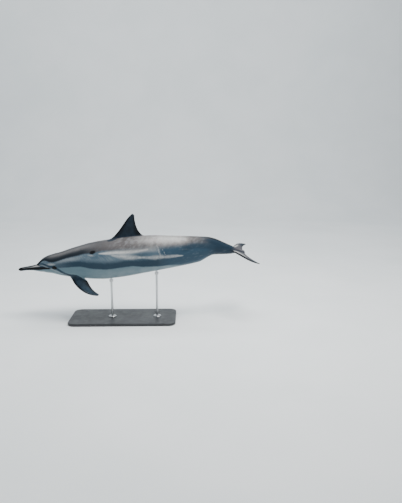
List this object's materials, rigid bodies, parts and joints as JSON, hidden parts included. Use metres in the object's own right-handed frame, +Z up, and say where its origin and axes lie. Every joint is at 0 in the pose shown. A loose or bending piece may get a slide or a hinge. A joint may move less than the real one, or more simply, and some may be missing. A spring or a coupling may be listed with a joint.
{
  "type": "spinner dolphin",
  "caption": "Life-size swimming spinner dolphin with a long slender beak, upright triangular fin and dark cape over a pale belly, held by rods on a flat display base.",
  "frame": {"origin": "centre of the display base's underside, on the floor", "axes": "+Z up; the snout points to -X and the tail to +X; the animal's left side faces -Y"},
  "size_m": [1.9448, 0.5063, 0.875],
  "materials": {
    "cape_skin": "smooth wet skin, dark slate grey",
    "flank_skin": "smooth wet skin, blue-grey",
    "belly_skin": "smooth wet skin, off-white",
    "fin_skin": "smooth wet skin, near-black grey",
    "eye": "wet, glossy, very dark brown",
    "stand_paint": "satin charcoal paint on board",
    "stand_steel": "brushed"
  },
  "bodies": {
    "root": {"upper_jaw": "cape_skin", "lower_jaw": "belly_skin", "head": "cape_skin", "chest": "flank_skin", "back": "flank_skin", "belly_end": "flank_skin", "tail_stock": "flank_skin", "fluke_centre": "cape_skin", "dorsal_fin": "fin_skin", "flipper_left": "fin_skin", "flipper_right": "fin_skin", "fluke_left": "fin_skin", "fluke_right": "fin_skin", "eye_left": "eye", "eye_right": "eye", "stand_base": "stand_paint", "stand_rod_front": "stand_steel", "stand_flange_front": "stand_steel", "stand_collar_front": "stand_steel", "stand_rod_rear": "stand_steel", "stand_flange_rear": "stand_steel", "stand_collar_rear": "stand_steel"}
  },
  "joints": []
}
